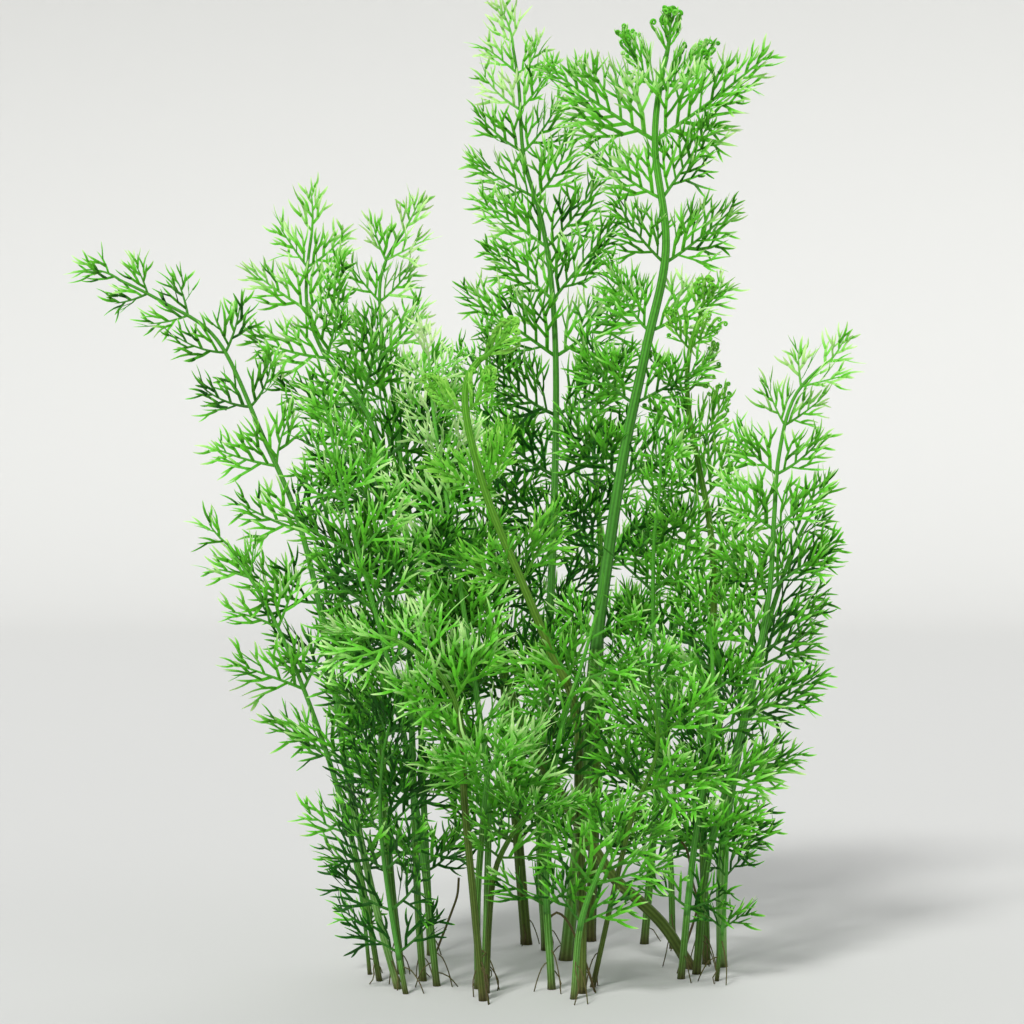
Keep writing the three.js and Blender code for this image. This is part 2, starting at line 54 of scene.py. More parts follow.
# A frond's line is the middle of its whole stalk, stipe and rachis, in millimetres, and bare is the share of
# it that is the stipe. Pinna is the length of its longest pinna, a high taper keeps the upper ones long, and
# face is the way that the blade looks. Tip is the radius at a rachis's end, where that isn't as usual.
FRONDS = [
    {
        "name": "tall_centre",
        "line": [
            [0, 0, 0], [7, 3, 65], [11, 5, 112], [20, 5, 176], [29, 3, 220], [36, 0, 256], [32, -2, 292],
            [34, -3, 316], [39, -4, 336],
        ],
        "radius": 2.3, "bare": 0.33, "pinna": 34, "taper": 16, "pairs": 9,
        "face": [0, -1, 0.1], "fork": {"tier": 7, "length": 50, "lean": 64}, "tip": 0.9,
    },
    {
        "name": "tall_back",
        "line": [
            [-7, 20, 0], [-9, 24, 49], [-5, 30, 129], [-3, 32, 196], [-4, 31, 238], [-8, 30, 268],
            [-15, 28, 293], [-17, 27, 320], [-21, 26, 345],
        ],
        "radius": 1.5, "bare": 0.36, "pinna": 43, "taper": 2.4, "pairs": 11,
        "face": [0, -1, 0.1], "fork": {"tier": 4, "length": 43, "lean": 64},
    },
    {
        "name": "far_left",
        "line": [
            [-58, -54, 0], [-66, -52, 29], [-75, -48, 70], [-83, -43, 117], [-93, -38, 158],
            [-106, -33, 188], [-122, -28, 221], [-142, -25, 235], [-166, -22, 247],
        ],
        "radius": 1.2, "bare": 0.27, "pinna": 33, "taper": 1.6, "pairs": 9, "face": [-0.2, -1, 0.2],
    },
    {
        "name": "left_tall",
        "line": [
            [-58, -27, 0], [-62, -26, 36], [-65, -24, 82], [-63, -20, 130], [-63, -18, 169],
            [-70, -17, 195], [-84, -16, 214], [-91, -16, 230], [-92, -16, 245], [-89, -16, 268],
        ],
        "radius": 1.3, "bare": 0.29, "pinna": 40, "taper": 4, "pairs": 9, "face": [0, -1, 0.1],
    },
    {
        "name": "left_inner",
        "line": [
            [-50, -40, 0], [-52, -36, 27], [-54, -28, 75], [-56, -14, 124], [-58, -4, 165],
            [-62, 4, 201], [-67, 8, 230], [-66, 10, 251], [-54, 10, 270],
        ],
        "radius": 1.2, "bare": 0.2, "pinna": 34, "taper": 4, "pairs": 10, "face": [0.2, -1, 0.1],
    },
    {
        "name": "left_edge",
        "line": [
            [-65, -40, 0], [-71, -42, 35], [-80, -45, 70], [-90, -48, 100], [-102, -50, 128],
            [-119, -50, 155],
        ],
        "radius": 1.0, "bare": 0.3, "pinna": 26, "taper": 3, "pairs": 5, "face": [-0.3, -1, 0.3],
    },
    {
        "name": "left_front",
        "line": [
            [-45, -49, 0], [-50, -57, 50], [-58, -66, 100], [-68, -70, 140], [-76, -70, 170],
            [-81, -68, 196],
        ],
        "radius": 1.2, "bare": 0.2, "pinna": 33, "taper": 3, "pairs": 8, "face": [-0.4, -1, 0.2],
    },
    {
        "name": "left_back",
        "line": [[-49, 10, 0], [-52, 16, 60], [-55, 24, 120], [-62, 30, 170], [-70, 34, 212]],
        "radius": 1.3, "bare": 0.13, "pinna": 36, "taper": 3, "pairs": 8, "face": [-0.6, 1, 0.2],
    },
    {
        "name": "pale_centre",
        "line": [
            [-29, -43, 0], [-28, -42, 28], [-28, -38, 69], [-34, -33, 113], [-41, -29, 158],
            [-47, -26, 197], [-49, -24, 222],
        ],
        "radius": 1.2, "bare": 0.24, "pinna": 32, "taper": 3, "pairs": 9, "face": [0.4, -1, 0.1],
    },
    {
        "name": "crozier",
        "line": [
            [4, -62, 0], [4, -63, 31], [3, -63, 65], [2, -62, 95], [-7, -60, 116], [-17, -58, 140],
            [-27, -56, 164], [-34, -54, 189], [-35, -53, 204], [-30, -53, 213], [-25, -54, 208],
        ],
        "radius": 1.5, "bare": 0.45, "pinna": 36, "taper": 1.2, "pairs": 4,
        "face": [0, -1, 0.1], "old": True, "young": True, "tip": 1.15,
    },
    {
        "name": "arching",
        "line": [
            [-29, -75, 0], [-32, -77, 33], [-35, -79, 66], [-36, -80, 91], [-41, -82, 105],
            [-49, -83, 114], [-59, -82, 120], [-69, -80, 120], [-77, -78, 115],
        ],
        "radius": 1.2, "bare": 0.55, "pinna": 28, "taper": 3, "pairs": 5, "face": [0, -0.7, 1], "old": True,
    },
    {
        "name": "rosette",
        "line": [[-31, -54, 0], [-31, -58, 31], [-29, -68, 58], [-27, -86, 76], [-24, -103, 84]],
        "radius": 1.1, "bare": 0.6, "pinna": 30, "taper": 3, "pairs": 4, "face": [0, 0.4, 1],
    },
    {
        "name": "low_rosette",
        "line": [
            [-28, -62, 0], [-27, -65, 25], [-25, -68, 42], [-20, -76, 54], [-15, -86, 62],
            [-12, -96, 66],
        ],
        "radius": 1.0, "bare": 0.55, "pinna": 22, "taper": 3, "pairs": 4, "face": [0, 0.4, 1], "old": True,
    },
    {
        "name": "low_left",
        "line": [[-55, -63, 0], [-60, -67, 30], [-63, -71, 58], [-62, -75, 80], [-58, -79, 97]],
        "radius": 0.9, "bare": 0.12, "pinna": 26, "taper": 3, "pairs": 7, "face": [-0.4, -1, 0.4],
    },
    {
        "name": "low_centre",
        "line": [[-6, -55, 0], [-8, -66, 45], [-4, -74, 85], [4, -80, 113], [10, -82, 134]],
        "radius": 1.3, "bare": 0.2, "pinna": 31, "taper": 3, "pairs": 6, "face": [0.3, -1, 0.2],
    },
    {
        "name": "low_right",
        "line": [[1, -72, 0], [3, -78, 25], [9, -84, 44], [16, -89, 60]],
        "radius": 1.1, "bare": 0.38, "pinna": 26, "taper": 3, "pairs": 3, "face": [0.2, -0.8, 1],
    },
    {
        "name": "right_front",
        "line": [
            [8, -51, 0], [15, -58, 34], [21, -68, 61], [28, -74, 80], [28, -77, 94], [24, -79, 105],
            [23, -80, 118],
        ],
        "radius": 0.9, "bare": 0.4, "pinna": 30, "taper": 3, "pairs": 4, "face": [0.2, -1, 0.2], "old": True,
    },
    {
        "name": "right_middle",
        "line": [[39, -36, 0], [42, -46, 40], [46, -54, 75], [48, -60, 105], [46, -64, 130]],
        "radius": 1.2, "bare": 0.18, "pinna": 30, "taper": 3, "pairs": 6, "face": [-0.2, -1, 0.3],
    },
    {
        "name": "right_inner",
        "line": [
            [40, 24, 0], [39, 20, 30], [36, 10, 64], [33, 0, 97], [31, -8, 126], [31, -14, 151],
            [33, -19, 176], [31, -22, 194],
        ],
        "radius": 1.2, "bare": 0.16, "pinna": 30, "taper": 3, "pairs": 9, "face": [-0.5, -1, 0.1],
    },
    {
        "name": "right_crozier",
        "line": [
            [50, -8, 0], [49, -7, 58], [53, -3, 126], [52, 0, 155], [48, 2, 178], [44, 3, 202],
            [45, 2, 221], [51, 0, 238],
        ],
        "radius": 1.4, "bare": 0.4, "pinna": 28, "taper": 3, "pairs": 7,
        "face": [0, -1, 0.1], "young": True, "tip": 0.75,
    },
    {
        "name": "right_tall",
        "line": [
            [45, -27, 0], [48, -31, 37], [54, -34, 62], [62, -37, 96], [69, -38, 131], [71, -37, 158],
            [73, -35, 181], [79, -33, 202], [94, -30, 217],
        ],
        "radius": 1.4, "bare": 0.18, "pinna": 33, "taper": 3, "pairs": 9, "face": [0.2, -1, 0.2],
    },
    {
        "name": "right_edge",
        "line": [
            [55, -13, 0], [55, -13, 35], [58, -12, 60], [65, -10, 95], [73, -8, 125], [82, -6, 150],
            [91, -5, 166],
        ],
        "radius": 1.8, "bare": 0.24, "pinna": 30, "taper": 3, "pairs": 7, "face": [0.6, -1, 0.3],
    },
    {
        "name": "leaning",
        "line": [
            [44, -17, 0], [35, -14, 14], [26, -12, 23], [17, -10, 31], [7, -11, 46], [-4, -13, 64],
            [-15, -16, 84], [-25, -19, 115], [-31, -21, 143], [-35, -22, 168],
        ],
        "radius": 2.0, "bare": 0.46, "pinna": 32, "taper": 3, "pairs": 4, "face": [0.2, -1, 0.1], "old": True,
    },
    {
        "name": "back_left",
        "line": [[-14, 33, 0], [-19, 42, 60], [-25, 50, 125], [-29, 56, 180], [-29, 60, 232]],
        "radius": 2.0, "bare": 0.15, "pinna": 39, "taper": 3, "pairs": 9, "face": [-0.3, 1, 0.2], "old": True,
    },
    {
        "name": "back_middle",
        "line": [[10, 40, 0], [13, 56, 70], [15, 68, 140], [12, 76, 188], [8, 80, 216]],
        "radius": 2.0, "bare": 0.14, "pinna": 36, "taper": 3, "pairs": 8, "face": [0.2, 1, 0.2], "old": True,
    },
    {
        "name": "back_right",
        "line": [[30, 34, 0], [36, 44, 60], [43, 52, 118], [50, 57, 160], [55, 60, 188]],
        "radius": 1.5, "bare": 0.15, "pinna": 33, "taper": 3, "pairs": 7, "face": [0.6, 1, 0.2],
    },
    {
        "name": "sprout_left",
        "line": [[-69, -28, 0], [-71, -31, 22], [-74, -34, 42], [-75, -36, 62]],
        "radius": 0.7, "bare": 0.25, "pinna": 17, "taper": 3, "pairs": 3, "face": [-0.4, -1, 0.4],
    },
    {
        "name": "sprout_right",
        "line": [[51, -40, 0], [53, -44, 22], [54, -47, 44], [54, -49, 66]],
        "radius": 0.7, "bare": 0.25, "pinna": 16, "taper": 3, "pairs": 3, "face": [0.4, -1, 0.4],
    },
]

# A stalk thins a little as it rises, and more along its rachis, as on the solids. Its ribs, in shares of its
# radius, and the swelling at its foot are only here. A course is measured in steps.
COURSE_STEPS = 200
STALK_TAPER = 0.12
RACHIS_TIP = 0.45
RACHIS_TAPER = 1.3
RODS = {"sides": 16, "ring": 3.2, "rib": 0.045, "swell": 0.15, "foot": 6}


def unit(v):
    """Directions of length one."""
    v = np.asarray(v, float)
    return v / np.linalg.norm(v, axis=-1, keepdims=True)


def vary(seed):
    """Natural variation that is the same each time, from -1 to 1."""
    golden = 0.618034
    return ((seed * golden) % 1) * 2 - 1


def stalk_course(frond):
    """A frond's centre line: the point at a share of its length, the ways along, aside and out there, and the
    radius. The solids' rachis always has the usual tip, so that is the radius that places are found with."""
    knots = np.array(frond["line"], float)
    knots = np.vstack([2 * knots[0] - knots[1], knots, 2 * knots[-1] - knots[-2]])
    spans = len(knots) - 3

    def spot(t):
        t = np.clip(t, 0, 1) * spans
        first = np.minimum(t.astype(int), spans - 1)
        w = (t - first)[:, None]
        a, b, c, d = (knots[first + k] for k in range(4))
        bow = (2 * a - 5 * b + 4 * c - d) * w**2 + (3 * b - a - 3 * c + d) * w**3
        return 0.5 * (2 * b + (c - a) * w + bow)

    steps = np.linspace(0, 1, COURSE_STEPS + 1)
    walked = np.cumsum(np.linalg.norm(np.diff(spot(steps), axis=0), axis=1))
    walked = np.concatenate([[0], walked])
    length = walked[-1]
    face = unit(frond["face"])

    def at(share):
        t = np.interp(np.atleast_1d(share) * length, walked, steps)
        along = unit(spot(t + 1e-4) - spot(t - 1e-4))
        side = unit(np.cross(along, face))
        return spot(t), along, side, np.cross(side, along)

    def radius(share, tip=RACHIS_TIP):
        leafy = np.clip((np.asarray(share) - frond["bare"]) / (1 - frond["bare"]), 0, None)
        stem = frond["radius"] * (1 - STALK_TAPER * np.asarray(share))
        return stem + (tip - stem) * leafy**RACHIS_TAPER

    return SimpleNamespace(at=at, radius=radius, length=length, tip=frond.get("tip", RACHIS_TIP))


@functools.cache
def rod_template(sides, rings, pointed):
    """A straight rod of radius 1, cut into rings: for each corner its ring and its place round it, and the
    faces. A pointed rod ends in one corner."""
    bm = bmesh.new()
    top = 0 if pointed else 1
    bmesh.ops.create_cone(bm, cap_ends=True, segments=sides, radius1=1, radius2=top, depth=2)
    bmesh.ops.remove_doubles(bm, verts=bm.verts[:], dist=1e-5)
    upright = [e for e in bm.edges if abs(e.verts[0].co.z - e.verts[1].co.z) > 1]
    bmesh.ops.subdivide_edges(bm, edges=upright, cuts=rings - 2, use_grid_fill=True)
    bmesh.ops.triangulate(bm, faces=bm.faces[:])
    bmesh.ops.recalc_face_normals(bm, faces=bm.faces[:])
    corners = np.array([v.co for v in bm.verts])
    faces = np.array([[v.index for v in f.verts] for f in bm.faces])
    bm.free()
    ring = np.rint((corners[:, 2] + 1) / 2 * (rings - 1)).astype(int)
    reach = np.linalg.norm(corners[:, :2], axis=1)
    round_it = corners[:, :2] / np.maximum(reach, 1e-6)[:, None] * (reach > 1e-4)[:, None]
    return ring, round_it, faces


def bent_rod(centres, side, out, radii, sides, rib=0.0):
    """A rod bent along a course, with low ribs on every second corner: its corners, faces, rings and ribs."""
    ring, round_it, faces = rod_template(sides, len(centres), False)
    ribs = np.cos(np.arctan2(round_it[:, 1], round_it[:, 0]) * sides / 2)
    thick = radii[ring] * (1 + rib * ribs)
    spread = round_it[:, :1] * out[ring] + round_it[:, 1:] * side[ring]
    return centres[ring] + thick[:, None] * spread, faces, ring, ribs


def stalk_rod(course, start, end):
    """The ribbed rod of a stalk from one share of its course to another: its corners and faces, and at each
    corner the share and the rib. At the ground it swells and ends in the flat cut."""
    rings = max(3, int((end - start) * course.length / RODS["ring"]) + 2)
    shares = np.linspace(start, end, rings)
    centres, _, side, out = course.at(shares)
    radii = course.radius(shares, course.tip)
    if start == 0:
        near_cut = np.clip(1 - shares * course.length / RODS["foot"], 0, 1)
        radii = radii * (1 + RODS["swell"] * near_cut**2)
    corners, faces, ring, ribs = bent_rod(centres, side, out, radii, RODS["sides"], RODS["rib"])
    if start == 0:
        corners[ring == 0, 2] = 0
    return corners, faces, shares[ring], ribs


ROOTS = {
    "radius": 0.22, "height": (4, 15), "reach": (3.9, 7.8), "stray": 1.5, "sides": 6, "ring": 1.6,
    "tone": 0.3, "seed": 400,
}

# The share of its reach and of its height that a root is at in four places. It strays at the third.
ROOT_COURSE = ((0, 1), (0.45, 0.85), (0.8, 0.4), (1, 0))

# Two long dead stems and a pale root, each clinging to the foot of one stalk.
LONG_THREAD = {"radius": 0.44, "tone": 0.6}
LONG_THREAD_LINES = {
    "low_centre": [[-7, -61, 25], [-4, -62, 27], [0, -63, 23], [5, -62, 11], [8.5, -60, 0]],
    "right_tall": [
        [38.5, -26, 0], [42, -27, 12], [45.2, -28.5, 24], [43.4, -30, 33], [41.3, -31, 44], [37, -31, 49],
    ],
    "left_back": [
        [-48.5, 9, 1], [-47, 3, 2], [-44.8, -2, 8], [-41, -3, 18], [-39, -3, 24], [-38.5, -2, 30],
    ],
}


def thread_rod(line, radius, tone):
    """A thin, round, brown thread through some points, none of it below the ground."""
    course = stalk_course({"line": line, "radius": radius, "bare": 1, "face": [0.3, -1, 0.2]})
    rings = max(4, int(course.length / ROOTS["ring"]))
    centres, _, side, out = course.at(np.linspace(0, 1, rings))
    corners, faces, _, _ = bent_rod(centres, side, out, np.full(rings, radius), ROOTS["sides"])
    corners[:, 2] = np.maximum(corners[:, 2], 0)
    return corners, faces, {"tone": np.full(len(corners), tone), "stalk": np.full(len(corners), 1.0)}


def root_threads(course, frond, index):
    """The thin roots of one stalk, one to three of them, and the long thread that clings to some."""
    rng = np.random.default_rng(ROOTS["seed"] + index)
    threads = []
    for _ in range(rng.integers(1, 4)):
        height = rng.uniform(*ROOTS["height"])
        start = course.at(height / course.length)[0][0]
        turn = rng.uniform(0, 2 * np.pi)
        away = np.array([math.cos(turn), math.sin(turn), 0])
        aside = np.array([-away[1], away[0], 0]) * rng.uniform(-ROOTS["stray"], ROOTS["stray"])
        reach = rng.uniform(*ROOTS["reach"])
        line = [start + away * reach * outward for outward, _ in ROOT_COURSE]
        line[2] = line[2] + aside
        for point, (_, upward) in zip(line, ROOT_COURSE):
            point[2] = height * upward
        threads.append(thread_rod(line, ROOTS["radius"], ROOTS["tone"]))
    if frond["name"] in LONG_THREAD_LINES:
        line = LONG_THREAD_LINES[frond["name"]]
        threads.append(thread_rod(line, LONG_THREAD["radius"], LONG_THREAD["tone"]))
    return threads


# Fine mottles, broad patches and the ribs each add their share to the shade of a green; for the ribs this is
# a painted highlight on each rib and painted shade in the grooves between them. Fresh and pale greens come in
# between two shades. The skin of a stalk has streaks from the mottles and patches, and the same painted
# highlight and shade on its ribs, between two shares of its own colour.
SKIN = {
    "mottle_scale": 900, "patch_scale": 45, "mottle": 0.22, "patches": 0.3, "rib": 0.2,
    "fresh": (0.0, 0.55), "pale": (0.52, 1.1), "streaks": (0.55, 1.05), "streak_mottle": 0.6,
    "stalk_rib_highlight": 0.4, "rough_mottle": 0.3, "roughness": (0.38, 0.62), "relief_rib": 0.6,
}


def fern_greens():
    """A node group: the greens of a fern, from the tone of each corner and a shade that is added to it. Deep
    is the green of tone 0, and paler ones follow. The stalk mark brings in the stalk's own skin, with its
    streaks and the painted highlight on its ribs."""
    group = bpy.data.node_groups.new("fern greens", "ShaderNodeTree")
    socket = group.interface.new_socket
    socket("Shade", in_out="INPUT", socket_type="NodeSocketFloat")
    for name in ("Deep", "Fresh", "Pale", "Stalk"):
        socket(name, in_out="INPUT", socket_type="NodeSocketColor")
    socket("Color", in_out="OUTPUT", socket_type="NodeSocketColor")
    socket("Roughness", in_out="OUTPUT", socket_type="NodeSocketFloat")
    socket("Height", in_out="OUTPUT", socket_type="NodeSocketFloat")
    add, wire = group.nodes.new, group.links.new
    given, result = add("NodeGroupInput"), add("NodeGroupOutput")
    place = add("ShaderNodeTexCoord")

    def mark(name):
        node = add("ShaderNodeAttribute")
        node.attribute_name = name
        return node.outputs["Fac"]

    def noise(scale):
        node = add("ShaderNodeTexNoise")
        node.inputs["Scale"].default_value = scale
        wire(place.outputs["Object"], node.inputs["Vector"])
        return node.outputs["Fac"]

    def plus(first, second, share):
        node = add("ShaderNodeMath")
        node.operation = "MULTIPLY_ADD"
        node.inputs[1].default_value = share
        wire(second, node.inputs[0])
        wire(first, node.inputs[2])
        return node.outputs[0]

    def blended(share, low, high, span):
        reach = add("ShaderNodeMapRange")
        reach.inputs["From Min"].default_value = span[0]
        reach.inputs["From Max"].default_value = span[1]
        wire(share, reach.inputs["Value"])
        mix = add("ShaderNodeMix")
        mix.data_type = "RGBA"
        wire(reach.outputs["Result"], mix.inputs["Factor"])
        wire(low, mix.inputs["A"])
        wire(high, mix.inputs["B"])
        return mix.outputs["Result"]

    tone, stalk, rib = mark("tone"), mark("stalk"), mark("rib")
    mottle, patches = noise(SKIN["mottle_scale"]), noise(SKIN["patch_scale"])
    shade = plus(given.outputs["Shade"], tone, 1.0)
    # The ribs are painted paler and the grooves between them darker: a painted highlight and painted shade.
    for source, share in ((mottle, SKIN["mottle"]), (patches, SKIN["patches"]), (rib, SKIN["rib"])):
        shade = plus(shade, source, share)
    leaf = blended(shade, given.outputs["Deep"], given.outputs["Fresh"], SKIN["fresh"])
    leaf = blended(shade, leaf, given.outputs["Pale"], SKIN["pale"])
    streaks = plus(patches, mottle, SKIN["streak_mottle"])
    streaks_and_rib_highlight = add("ShaderNodeMapRange")
    streaks_and_rib_highlight.clamp = False
    streaks_and_rib_highlight.inputs["To Min"].default_value = SKIN["streaks"][0]
    streaks_and_rib_highlight.inputs["To Max"].default_value = SKIN["streaks"][1]
    # The ribs of a stalk's skin get the same painted highlight, and its grooves get painted shade.
    wire(plus(streaks, rib, SKIN["stalk_rib_highlight"]), streaks_and_rib_highlight.inputs["Value"])
    skin = add("ShaderNodeVectorMath")
    skin.operation = "SCALE"
    wire(given.outputs["Stalk"], skin.inputs[0])
    wire(streaks_and_rib_highlight.outputs["Result"], skin.inputs["Scale"])
    wire(blended(stalk, leaf, skin.outputs["Vector"], (0.0, 1.0)), result.inputs["Color"])
    wire(plus(patches, mottle, SKIN["rough_mottle"]), result.inputs["Roughness"])
    wire(plus(mottle, rib, SKIN["relief_rib"]), result.inputs["Height"])
    return group


GREENS = fern_greens()


def fern_material(name, shade, bump, **colors):
    """A living finish of its own greens, softly glossy and a little translucent like thin leaf."""
    material = bpy.data.materials.new(name)
    material.use_nodes = True
    nodes, links = material.node_tree.nodes, material.node_tree.links
    shader = nodes["Principled BSDF"]
    shader.inputs["Subsurface Weight"].default_value = 0.25
    shader.inputs["Subsurface Radius"].default_value = (0.4, 1.0, 0.2)
    shader.inputs["Subsurface Scale"].default_value = 0.0012
    shader.inputs["Specular IOR Level"].default_value = 0.15
    own = nodes.new("ShaderNodeGroup")
    own.node_tree = GREENS
    own.inputs["Shade"].default_value = shade
    for color, value in colors.items():
        own.inputs[color.title()].default_value = (*value, 1)
    gloss = nodes.new("ShaderNodeMapRange")
    gloss.inputs["To Min"].default_value = SKIN["roughness"][0]
    gloss.inputs["To Max"].default_value = SKIN["roughness"][1]
    relief = nodes.new("ShaderNodeBump")
    relief.inputs["Strength"].default_value = bump
    relief.inputs["Distance"].default_value = 0.0003
    links.new(own.outputs["Color"], shader.inputs["Base Color"])
    links.new(own.outputs["Roughness"], gloss.inputs["Value"])
    links.new(gloss.outputs["Result"], shader.inputs["Roughness"])
    links.new(own.outputs["Height"], relief.inputs["Height"])
    links.new(relief.outputs["Normal"], shader.inputs["Normal"])
    return material


STALK = fern_material(
    "fern stalk", shade=-0.26, bump=0.5, deep=(0.025, 0.06, 0.008), fresh=(0.082, 0.26, 0.03),
    pale=(0.3, 0.62, 0.18), stalk=(0.1, 0.085, 0.03),
)
OLD_STALK = fern_material(
    "old fern stalk", shade=-0.26, bump=0.6, deep=(0.02, 0.04, 0.007), fresh=(0.075, 0.14, 0.018),
    pale=(0.16, 0.29, 0.05), stalk=(0.09, 0.07, 0.026),
)


def joined(parts):
    """Several sets of corners, faces and marks as one. A mark that a part lacks is 0."""
    starts = np.cumsum([0] + [len(corners) for corners, _, _ in parts])
    corners = np.concatenate([part[0] for part in parts])
    faces = np.concatenate([part[1] + start for part, start in zip(parts, starts)])
    marks = {}
    for name in sorted({name for _, _, own in parts for name in own}):
        marks[name] = np.concatenate([own.get(name, np.zeros(len(where))) for where, _, own in parts])
    return corners, faces, marks


def fern_mesh(name, corners, faces, margin=None, **marks):
    """A piece in metres from corners in millimetres, with one number at each corner for every mark. The edges
    along a leaf's margin are sharp, so that it is seen to be flat."""
    mesh = bpy.data.meshes.new(name)
    mesh.from_pydata(corners * MM, [], faces)
    if margin is not None:
        ends = np.empty(2 * len(mesh.edges), np.int32)
        mesh.edges.foreach_get("vertices", ends)
        sharp = mesh.attributes.new("sharp_edge", "BOOLEAN", "EDGE")
        sharp.data.foreach_set("value", (margin[ends.reshape(-1, 2)] > 0.5).all(axis=1))
    for mark, values in marks.items():
        layer = mesh.attributes.new(mark, "FLOAT", "POINT")
        layer.data.foreach_set("value", np.asarray(values, np.float32))
    mesh.shade_smooth()
    piece = bpy.data.objects.new(name, mesh)
    bpy.context.collection.objects.link(piece)
    return piece


def finish_piece(name, parts, material, slot):
    """One piece of the clump in place of the CAD node of its name."""
    corners, faces, marks = joined(parts)
    piece = fern_mesh(name + "_fern", corners, faces, **marks)
    piece.data.materials.append(material)
    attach(piece, "root")
    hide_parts(name)


# A stipe is browned near its cut and olive above it, and meets its blade at the same tone on every frond.
BROWNED = {"cut": 0.6, "height": 12, "above": 0.3}
STIPE_TONE = {"top": 0.5, "vary": 0.2}
PALE_STIPES = {"right_edge": 0.5, "far_left": 0.2, "left_front": 0.2, "low_left": 0.15, "tall_centre": 0.25}

for index, frond in enumerate(FRONDS):
    course = stalk_course(frond)
    corners, faces, share, ribs = stalk_rod(course, 0, frond["bare"])
    up = share / frond["bare"]
    near_cut = np.clip(1 - share * course.length / BROWNED["height"], 0, 1)
    brown = BROWNED["cut"] * near_cut**1.5 + BROWNED["above"] * (1 - up)
    tone = STIPE_TONE["top"] + STIPE_TONE["vary"] * vary(3 * index) + PALE_STIPES.get(frond["name"], 0)
    tone = tone + (STIPE_TONE["top"] - tone) * up**2
    stipe = (corners, faces, {"tone": tone, "rib": ribs, "stalk": brown})
    material, slot = (OLD_STALK, "old_stalk") if frond.get("old") else (STALK, "stalk")
    finish_piece(frond["name"] + "_stipe", [stipe, *root_threads(course, frond, index)], material, slot)


# The blades
# A stipe runs on as the rachis, and the side leaflets, the pinnae, grow from it in pairs, with one more at
# its end. Each is divided two or three times more into flat, narrow, pointed segments, about 1 mm wide.

# The pairs begin just above the stipe, in millimetres, and crowd together towards the last pinna, which is
# at a share of the stalk's course.
ABOVE_STIPE = 2.5
CROWDING = 1.3
LAST_PINNA = 0.965

# The lowest and the highest pair lean away from the rachis by these degrees, and swing round it by up to so
# many. Every pinna bends by a share of its length towards the rachis's tip.
LEAN = (62, 52)
SWING = 36
RISE = 0.16
BASE_HALF = 1.1
PINNA_SIZE = {"lowest": 0.72, "full_from": 0.25, "shrink": 0.68, "uneven": 0.1, "end": 0.42}

# A solid pinna that would have met another was turned by degrees or made smaller, in the first of these ways
# that was free. Which it was is known from the solids: its tip is a corner there, to 0.2 mm.
TURNED = [
    (0, 0, 1), (12, 0, 1), (-12, 0, 1), (0, -8, 0.95), (24, 0, 0.95), (-24, 0, 0.95), (12, -12, 0.85),
    (-12, -12, 0.85), (36, -6, 0.85), (-36, -6, 0.85), (0, -16, 0.7), (24, -12, 0.6), (-24, -12, 0.6),
    (0, -12, 0.45),
]
NEAR_TIP = 0.2

# The shares of a stalk's course at which its leaf begins to be young, and from which it is only unrolling.
YOUNG_LEAVES = {"crozier": (0.62, 0.87), "right_crozier": (0.62, 0.87), "tall_centre": (0.88, 0.94)}


def youth_at(name, share):
    """How young a frond's leaf is at a share of its course, from 0, grown, to 1, unrolling."""
    return float(np.interp(share, YOUNG_LEAVES[name], (0, 1))) if name in YOUNG_LEAVES else 0.0


def solid_corners(names):
    """The corners of some solids, to look a tip up among them."""
    corners = [v.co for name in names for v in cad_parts[name].data.vertices]
    tree = kdtree.KDTree(len(corners))
    for number, corner in enumerate(corners):
        tree.insert(corner, number)
    tree.balance()
    return tree


def pinna_at(course, share, sign, swing, turn, length, outside=False):
    """A pinna: its base inside the rachis, where its solid begins, its tip, the ways ahead, across and out of
    it, its length, and the rachis's radius there. The solid of a branch begins outside the rachis."""
    point, along, side, out = (v[0] for v in course.at(share))
    swing = math.radians(swing) * sign
    turn = math.radians(turn)
    aside = (side * math.cos(swing) - out * math.sin(swing)) * sign
    upper = out * math.cos(swing) + side * math.sin(swing)
    ahead = along * math.cos(turn) + aside * math.sin(turn)
    across = np.cross(upper, ahead) * sign
    root = point + ahead * (course.radius(share) + BASE_HALF) if outside else point
    return SimpleNamespace(
        base=point, root=root, tip=root + length * (ahead + RISE * across),
        ahead=ahead, across=across, out=upper, length=length, share=share,
        stem=float(course.radius(share, course.tip)), branch=None,
    )


